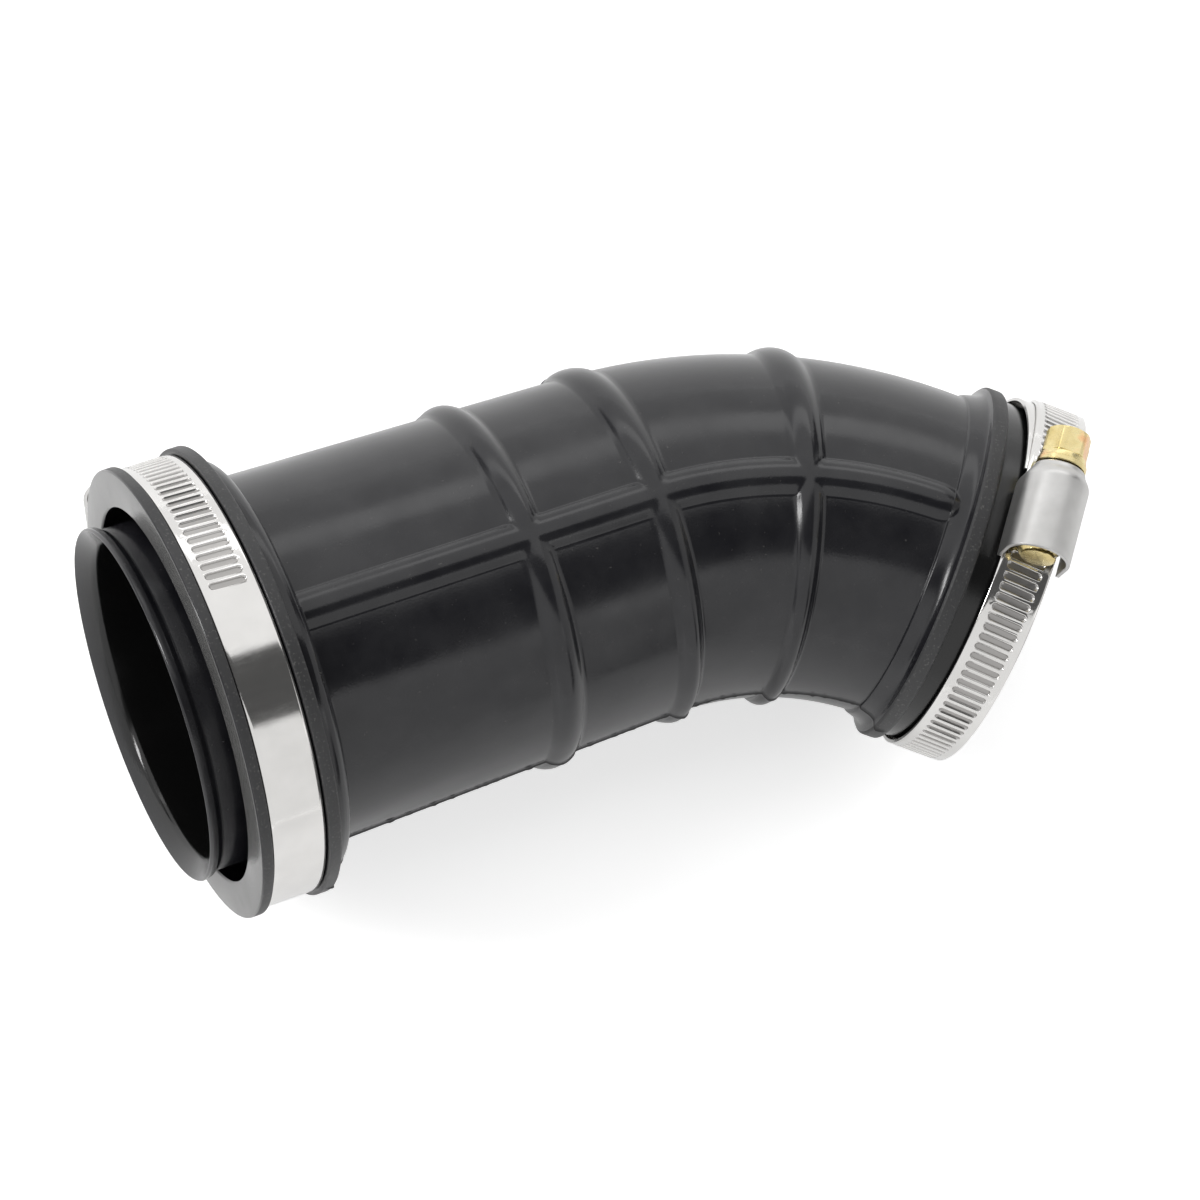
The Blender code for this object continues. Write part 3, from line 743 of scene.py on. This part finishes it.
def tinted(tree, share, first, second):
    """Two colours mixed by a value; either may be a plain colour."""
    made = tree.nodes.new("ShaderNodeMix")
    made.data_type = "RGBA"
    tree.links.new(share, made.inputs["Factor"])
    for entry, colour in zip(made.inputs[6:8], (first, second)):
        if isinstance(colour, tuple):
            entry.default_value = (*colour, 1.0)
        else:
            tree.links.new(colour, entry)
    return made.outputs[2]


def bump(tree, shader, heights):
    """Stacked bumps, each given as a value and its depth in metres."""
    last = None
    for source, depth in heights:
        made = tree.nodes.new("ShaderNodeBump")
        made.inputs["Strength"].default_value = 1.0
        made.inputs["Distance"].default_value = depth
        tree.links.new(source, made.inputs["Height"])
        if last:
            tree.links.new(last, made.inputs["Normal"])
        last = made.outputs["Normal"]
    tree.links.new(last, shader.inputs["Normal"])


# %% [markdown]
# ## Rubber
# Base colour, roughness and bump each get detail of their own, so that the gloss breaks up
# even where the colour is flat. The skin's marks choose between four surfaces.

# %% Black moulded rubber
def rubber_material():
    """Glossy black rubber, duller on its rims, with a painted sheen of lighter grey on the collar's face and
    painted shade in the bore and round the cuff.
    """
    material, tree, shader = start_material("moulded_rubber")
    specks = noise(tree, 2600, 2.0)
    slow = noise(tree, 55, 4.0)
    rim = marked(tree, "matte")
    dull = combined(tree, "MAXIMUM", rim, marked(tree, "fin"))
    mottle = ramp(tree, noise(tree, 140, 6.0), (0.35, (0.007, 0.007, 0.009)), (0.7, (0.016, 0.016, 0.018)))
    speck = remap(tree, noise(tree, 1500, 1.0), 0.73, 0.82, 0.0, 1.0)
    dust = tinted(tree, speck, mottle, (0.045, 0.044, 0.043))
    rim_dust = ramp(tree, noise(tree, 2300, 2.0), (0.60, (0.022, 0.022, 0.023)), (0.74, (0.09, 0.088, 0.085)))
    skin = tinted(tree, rim, dust, rim_dust)
    # Painted sheen: lighter grey on the collar's face, standing in for the floor's reflection at this grazing
    # angle.
    painted_sheen = ramp(tree, noise(tree, 900, 5.0), (0.3, (0.065, 0.065, 0.064)), (0.7, (0.095, 0.094, 0.092)))
    skin = tinted(tree, marked(tree, "face"), skin, painted_sheen)
    skin = tinted(tree, marked(tree, "fin"), skin, (0.004, 0.004, 0.004))
    # Painted shade: the bore and the cuff in the clamp's gap are painted near black.
    skin = tinted(tree, marked(tree, "inside"), skin, (0.004, 0.004, 0.004))
    tree.links.new(skin, shader.inputs["Base Color"])
    gloss = remap(tree, slow, 0.35, 0.7, 0.13, 0.26)
    gloss = combined(tree, "ADD", gloss, combined(tree, "MULTIPLY", dull, 0.3))
    tree.links.new(gloss, shader.inputs["Roughness"])
    grain = combined(tree, "MULTIPLY", specks, combined(tree, "ADD", dull, 0.3))
    bump(tree, shader, [(grain, 0.00003), (slow, 0.00006)])
    return material


rubber = rubber_material()
boot_skin.data.materials.append(rubber)


# %% [markdown]
# ## Steel and zinc
# The strips are bright rolled steel, and the housings are satin, so one function makes both with
# other values. In the pressed slots the steel is greyer and duller. The zinc has slow patches of
# colour, because the thickness of its coating changes.

# %% Bright rolled steel, and yellow passivated zinc
def steel_material(name, dark, light, gloss, lines):
    """Strip steel with faint lines and small scuffs, greyer and duller in the pressed slots."""
    material, tree, shader = start_material(name)
    shader.inputs["Metallic"].default_value = 1.0
    fine = noise(tree, 900, 3.0, lines)
    patches = noise(tree, 160, 3.0)
    tone = ramp(tree, patches, (0.3, dark), (0.7, light))
    sunk = marked(tree, "sunk")
    tree.links.new(tinted(tree, sunk, tone, (0.36, 0.35, 0.34)), shader.inputs["Base Color"])
    rough = remap(tree, fine, 0.3, 0.7, gloss - 0.03, gloss + 0.03)
    rough = combined(tree, "ADD", rough, combined(tree, "MULTIPLY", sunk, 0.22))
    tree.links.new(rough, shader.inputs["Roughness"])
    bump(tree, shader, [(fine, 0.000003)])
    return material


def zinc_material():
    """Pale gold plating with orange and olive patches."""
    material, tree, shader = start_material("yellow_zinc_plate")
    shader.inputs["Metallic"].default_value = 1.0
    patches = noise(tree, 120, 3.0)
    tone = ramp(
        tree,
        patches,
        (0.32, (0.40, 0.37, 0.17)),
        (0.45, (0.66, 0.53, 0.24)),
        (0.58, (0.78, 0.67, 0.36)),
        (0.66, (0.82, 0.50, 0.26)),
    )
    tree.links.new(tone, shader.inputs["Base Color"])
    tree.links.new(remap(tree, noise(tree, 1400, 3.0), 0.3, 0.7, 0.18, 0.34), shader.inputs["Roughness"])
    bump(tree, shader, [(noise(tree, 2500, 2.0), 0.000008)])
    return material


steel = steel_material("rolled_steel", (0.66, 0.65, 0.635), (0.71, 0.70, 0.685), 0.12, (0.25, 1, 1))
satin = steel_material("satin_steel", (0.50, 0.495, 0.485), (0.60, 0.595, 0.585), 0.36, (1, 1, 0.2))
zinc = zinc_material()
print("finishes:", [material.name for material in (rubber, steel, satin, zinc)])


# %% [markdown]
# ## Both bands
# The points of each strip say which tiles are pressed. The tree runs once for each clamp, its
# result is turned into a plain mesh, and the two ends are closed.

# %% Make both bands
def baked(piece):
    """The piece with its modifiers turned into a plain mesh."""
    bpy.context.view_layer.update()
    graph = bpy.context.evaluated_depsgraph_get()
    mesh = bpy.data.meshes.new_from_object(piece.evaluated_get(graph))
    piece.modifiers.clear()
    piece.data = mesh
    return piece


def cap_ends(mesh):
    """Close the strip's two open ends and turn all faces outward."""
    work = bmesh.new()
    work.from_mesh(mesh)
    rim = [edge for edge in work.edges if edge.is_boundary]
    bmesh.ops.holes_fill(work, edges=rim, sides=0)
    bmesh.ops.recalc_face_normals(work, faces=work.faces[:])
    work.to_mesh(mesh)
    work.free()


def make_band(name, clamp):
    """The slotted strip of one clamp, wrapped on its guide and set in its place."""
    turns, points = guide_points(clamp)
    lengths = np.concatenate([[0], np.cumsum(np.linalg.norm(np.diff(points, axis=0), axis=1))])
    count = int(lengths[-1] / SLOT_PITCH)
    middles = (np.arange(count) + 0.5) * SLOT_PITCH
    at_turn = np.interp(middles, lengths, turns)
    pressed = (at_turn < clamp["pressed"][1]) & (middles > 2.2)
    marks = bpy.data.meshes.new(name + "_marks")
    marks.from_pydata([(0.001 * x, 0, 0) for x in middles], [], [])
    attribute = marks.attributes.new("pressed", "BOOLEAN", "POINT")
    attribute.data.foreach_set("value", pressed)
    band = bpy.data.objects.new(name + "_strip", marks)
    bpy.context.scene.collection.objects.link(band)
    guide = guide_curve(name + "_guide", points)
    wrap = band.modifiers.new("wrap", "NODES")
    wrap.node_group = strip_tree
    values = (pressed_tile, plain_tile, guide, 0.00002, steel)
    for label, value in zip(("Pressed tile", "Plain tile", "Guide", "Merge distance", "Steel"), values):
        wrap[strip_inputs[label]] = value
    baked(band)
    cap_ends(band.data)
    band.data.transform(clamp["axes"])
    band.data.shade_smooth()
    band.data.set_sharp_from_angle(angle=math.radians(50))
    bpy.data.objects.remove(guide)
    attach(band, "boot")
    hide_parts(name + "_band")
    print(name, "has", int(pressed.sum()), "slots and", len(band.data.polygons), "faces")


for name, clamp in clamps.items():
    make_band(name, clamp)
bpy.data.objects.remove(pressed_tile)
bpy.data.objects.remove(plain_tile)

# %% [markdown]
# ## The screw housings
# The housing is a strip of sheet steel folded over the screw into an arch with two legs, and
# drawn in at one end round the screw's neck. Its sections are the same arch at different sizes,
# so a loft through them makes it. A narrow bevel on the cut edges gives the thin bright line
# that sheet metal shows.


# %% Loft a housing
def arch(radius, foot, height, sides=40):
    """Half a circle on two straight legs."""
    turn = np.linspace(math.pi, 0, sides + 1)
    curve = np.stack([radius * np.cos(turn), height + radius * np.sin(turn)], -1)
    return np.concatenate([[(-radius, foot)], curve, [(radius, foot)]])


def make_housing(name, clamp):
    """The arch over one screw, with its drawn-in nose."""
    half = 0.5 * HOUSING_LENGTH
    sheet = 0.7
    arch_radius = 5.6
    mouth = 4.38
    height = screw_height(clamp["inner"] + BAND_THICKNESS)
    foot = clamp["foot"]
    raised = max(foot, BAND_PITCH)
    nose = half - 3.2
    sections = [(x, arch_radius, arch_radius - sheet, foot) for x in (-half, nose)]
    for t in np.linspace(0.15, 1, 9):
        outer = arch_radius - (arch_radius - mouth) * (1 - math.cos(0.5 * math.pi * t)) * 0.9
        sections.append((nose + 2.3 * t, outer, outer - sheet, max(foot, raised * min(3 * t, 1))))
    for back, outer in ((0.42, mouth), (0.12, mouth - 0.13), (0.0, mouth - 0.33)):
        sections.append((half - back, outer, 2.8, raised))
    rings = []
    for x, outer, inner, low in sections:
        outline = np.concatenate([arch(outer, low, height), arch(inner, low, height)[::-1]])
        rings.append(np.column_stack([np.full(len(outline), x), outline]))
    points = np.array(rings)
    rows, across = points.shape[:2]
    faces = [tuple(f) for f in grid_faces(rows, across, False, True)]
    for start in (0, (rows - 1) * across):
        for i in range(across // 2 - 1):
            last = start + across - 1
            faces.append((start + i, start + i + 1, last - i - 1, last - i))
    piece = make_piece(name + "_cover", placed(points.reshape(-1, 3), housing_axes(clamp)), faces, 50)
    edge = piece.modifiers.new("edge", "BEVEL")
    edge.width = 0.00012
    edge.segments = 2
    edge.limit_method = "ANGLE"
    edge.angle_limit = math.radians(50)
    piece.data.materials.append(satin)
    baked(piece)
    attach(piece, "boot")
    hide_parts(name + "_housing")
    return piece


covers = [make_housing(name, clamp) for name, clamp in clamps.items()]
print("housing faces:", len(covers[0].data.polygons))

# %% [markdown]
# ## The worm screws
# The thread is a helix cut on a plain round bar, so the screw is a grid of points in which the
# radius depends on how far along and how far round a point is. The hexagon is the same idea:
# the radius follows six flat sides. The head's driver slot is cut with a Boolean.


# %% Turn, thread and slot a screw
SCREW_TIP = -16.4
THREAD_ROOT = 2.75
THREAD_DEPTH = 0.72
HEX_HALF_WIDTH = 3.5
HEX_TRIM = 3.88


def thread_radius(x, turn):
    """Radius of the worm at a place along it and round it."""
    phase = np.remainder(x / SLOT_PITCH - turn / (2 * math.pi), 1.0)
    tooth = np.clip(2.4 * (1 - np.abs(2 * phase - 1)) - 0.7, 0, 1)
    return THREAD_ROOT + THREAD_DEPTH * tooth


def make_screw(name, clamp):
    """The hex-headed worm screw, built along X with its head to plus X."""
    sides = 72
    turns = np.linspace(0, 2 * math.pi, sides, endpoint=False)
    sector = math.pi / 3
    flats = HEX_HALF_WIDTH / np.cos(np.remainder(turns, sector) - 0.5 * sector)
    hexagon = np.minimum(flats, HEX_TRIM)
    rows = [(SCREW_TIP, np.full(sides, 1.8))]
    for x in np.linspace(SCREW_TIP + 0.2, -1.1, 114):
        entry = np.clip((x - SCREW_TIP + 0.1) / 1.2, 0.0, 1.0) ** 0.5
        rows.append((x, np.minimum(thread_radius(x, turns), 2.3 + 1.2 * entry)))
    neck_and_ring = [(-1.0, 3.4), (-1.0, 2.5), (0.3, 2.5), (0.3, 4.05), (0.42, 4.2), (1.15, 4.2)]
    ring_step = [(1.27, 4.1), (1.32, 3.98), (1.4, 3.96), (2.0, 3.96), (2.22, 3.85)]
    for x, r in neck_and_ring + ring_step:
        rows.append((x, np.full(sides, r)))
    rows.append((2.32, hexagon - 0.12))
    for x, shrink in ((2.42, 0.0), (6.2, 0.0), (6.45, 0.16), (6.62, 0.34), (6.75, 0.56), (6.8, 0.8)):
        rows.append((x, np.minimum(hexagon, 4.05 - shrink)))
    rings = [np.stack([np.full(sides, x), r * np.cos(turns), r * np.sin(turns)], -1) for x, r in rows]
    grid = np.array(rings)
    faces = [tuple(f) for f in grid_faces(len(rows), sides, False, True)]
    last = (len(rows) - 1) * sides
    faces += [tuple(range(sides)), tuple(last + i for i in range(sides))]
    axes = housing_axes(clamp) @ Matrix.Translation(screw_seat(clamp))
    piece = make_piece(name + "_worm_screw", placed(grid.reshape(-1, 3), axes), faces, 32)
    piece.data.materials.append(zinc)
    box = np.array([(x, y, z) for x in (5.2, 8.4) for y in (-7, 7) for z in (-0.6, 0.6)], float)
    box_faces = [(0, 1, 3, 2), (4, 6, 7, 5), (0, 4, 5, 1), (2, 3, 7, 6), (0, 2, 6, 4), (1, 5, 7, 3)]
    cutter = make_piece(name + "_driver_slot", placed(box, axes), box_faces)
    cut = piece.modifiers.new("driver_slot", "BOOLEAN")
    cut.object = cutter
    cut.solver = "EXACT"
    baked(piece)
    bpy.data.objects.remove(cutter)
    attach(piece, name + "_screw")
    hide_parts(name + "_screw")
    return piece


screws = [make_screw(name, clamp) for name, clamp in clamps.items()]
print("screw faces:", len(screws[0].data.polygons))

# %% [markdown]
# ## The camera
# The photograph looks down on the part at a steep angle through a long lens. The camera's place
# was found by fitting the outlines of the collar, the duct and the flange, and it is given
# on the boot's own axes, so it keeps the same view of the boot however the part lies.

# %% Place the camera
camera_data = bpy.data.cameras.new("photo_view")
camera_data.lens = 132.5
camera_data.sensor_width = 36
camera_data.clip_start = 0.05
camera_data.clip_end = 20
camera = bpy.data.objects.new("photo_view", camera_data)
bpy.context.scene.collection.objects.link(camera)
camera_right = Vector((0.904318, -0.366913, 0.218135))
camera_up = Vector((0.306086, 0.913577, 0.267746))
camera_back = camera_right.cross(camera_up)
look = Matrix((camera_right, camera_up, camera_back)).transposed().to_4x4()
look.translation = Vector((-0.14704, -0.13818, 0.69787))
camera.matrix_world = boot_axes @ look
bpy.context.scene.camera = camera
print("camera height in mm:", round(1000 * camera.matrix_world.translation.z))

# %% [markdown]
# ## Floor and light
# The part lies on a white sweep under soft boxes. The floor is a real surface, so that it takes
# the soft shadow and shows in the rubber. It glows a little to the camera and in reflections,
# which clears the background to white without lighting the part.

# %% White floor and world
def floor_material():
    """White paper that shows shadows and reads white to the camera."""
    material, tree, shader = start_material("white_sweep")
    shader.inputs["Roughness"].default_value = 0.9
    shader.inputs["Specular IOR Level"].default_value = 0.1
    grain = ramp(tree, noise(tree, 300, 2.0), (0.0, (0.86, 0.86, 0.86)), (1.0, (0.88, 0.88, 0.88)))
    tree.links.new(grain, shader.inputs["Base Color"])
    glow = tree.nodes.new("ShaderNodeEmission")
    glow.inputs["Strength"].default_value = 0.5
    none = tree.nodes.new("ShaderNodeEmission")
    none.inputs["Strength"].default_value = 0.0
    rays = tree.nodes.new("ShaderNodeLightPath")
    pick = tree.nodes.new("ShaderNodeMixShader")
    total = tree.nodes.new("ShaderNodeAddShader")
    mirrored = combined(tree, "MULTIPLY", rays.outputs["Is Glossy Ray"], 0.4)
    seen = combined(tree, "MAXIMUM", rays.outputs["Is Camera Ray"], mirrored)
    tree.links.new(seen, pick.inputs["Fac"])
    tree.links.new(none.outputs[0], pick.inputs[1])
    tree.links.new(glow.outputs[0], pick.inputs[2])
    tree.links.new(shader.outputs[0], total.inputs[0])
    tree.links.new(pick.outputs[0], total.inputs[1])
    tree.links.new(total.outputs[0], tree.nodes["Material Output"].inputs["Surface"])
    return material


floor_mesh = bpy.data.meshes.new("white_floor")
floor_mesh.from_pydata([(-2, -2, 0), (2, -2, 0), (2, 2, 0), (-2, 2, 0)], [], [(0, 1, 2, 3)])
floor_mesh.materials.append(floor_material())
floor = bpy.data.objects.new("white_floor", floor_mesh)
bpy.context.scene.collection.objects.link(floor)

world = bpy.data.worlds.new("studio")
bpy.context.scene.world = world
world.use_nodes = True
sky = world.node_tree
background = sky.nodes["Background"]
background.inputs["Color"].default_value = (1, 1, 1, 1)
path = sky.nodes.new("ShaderNodeLightPath")
level = sky.nodes.new("ShaderNodeMapRange")
level.inputs["To Min"].default_value = 0.1
level.inputs["To Max"].default_value = 1.0
sky.links.new(path.outputs["Is Camera Ray"], level.inputs["Value"])
sky.links.new(level.outputs["Result"], background.inputs["Strength"])


# %% [markdown]
# ## Soft boxes
# Two large boxes stand above and below the camera's line of sight, with a dark gap between them.
# The gap is what draws the dark band along the duct and the dark patch on the airbox strip.
# A back box lights the far edge, side boxes open the flanks of the screw housing, and one narrow
# strip at the left draws thin bright lines beside the hoops.

# %% Soft boxes
def soft_box(name, place, width, height, power):
    """An area lamp, placed on the camera's own axes in metres from the boot's middle, facing it."""
    data = bpy.data.lights.new(name, "AREA")
    data.shape = "RECTANGLE"
    data.size = width
    data.size_y = height
    data.energy = power
    lamp = bpy.data.objects.new(name, data)
    bpy.context.scene.collection.objects.link(lamp)
    view = camera.matrix_world.to_3x3()
    middle = 0.5 * (cad_low + cad_high)
    spot = middle + view @ Vector(place)
    turn = (middle - spot).to_track_quat("-Z", "Y").to_matrix().to_4x4()
    turn.translation = spot
    lamp.matrix_world = turn


soft_box("upper_box", (0, 0.64, 0.64), 2.0, 1.17, 7.7)
soft_box("back_box", (0, 0.95, 0), 2.2, 0.85, 6.0)
soft_box("lower_box", (0, -0.69, 0.57), 2.0, 1.24, 7.0)
soft_box("left_strip", (-0.72, 0.12, 0.62), 0.14, 0.5, 3.6)
soft_box("left_box", (-1.05, 0, 0.25), 1.3, 1.0, 3.0)
soft_box("right_box", (1.05, 0, 0.25), 1.3, 1.0, 3.0)
bpy.context.scene.view_settings.view_transform = "Standard"
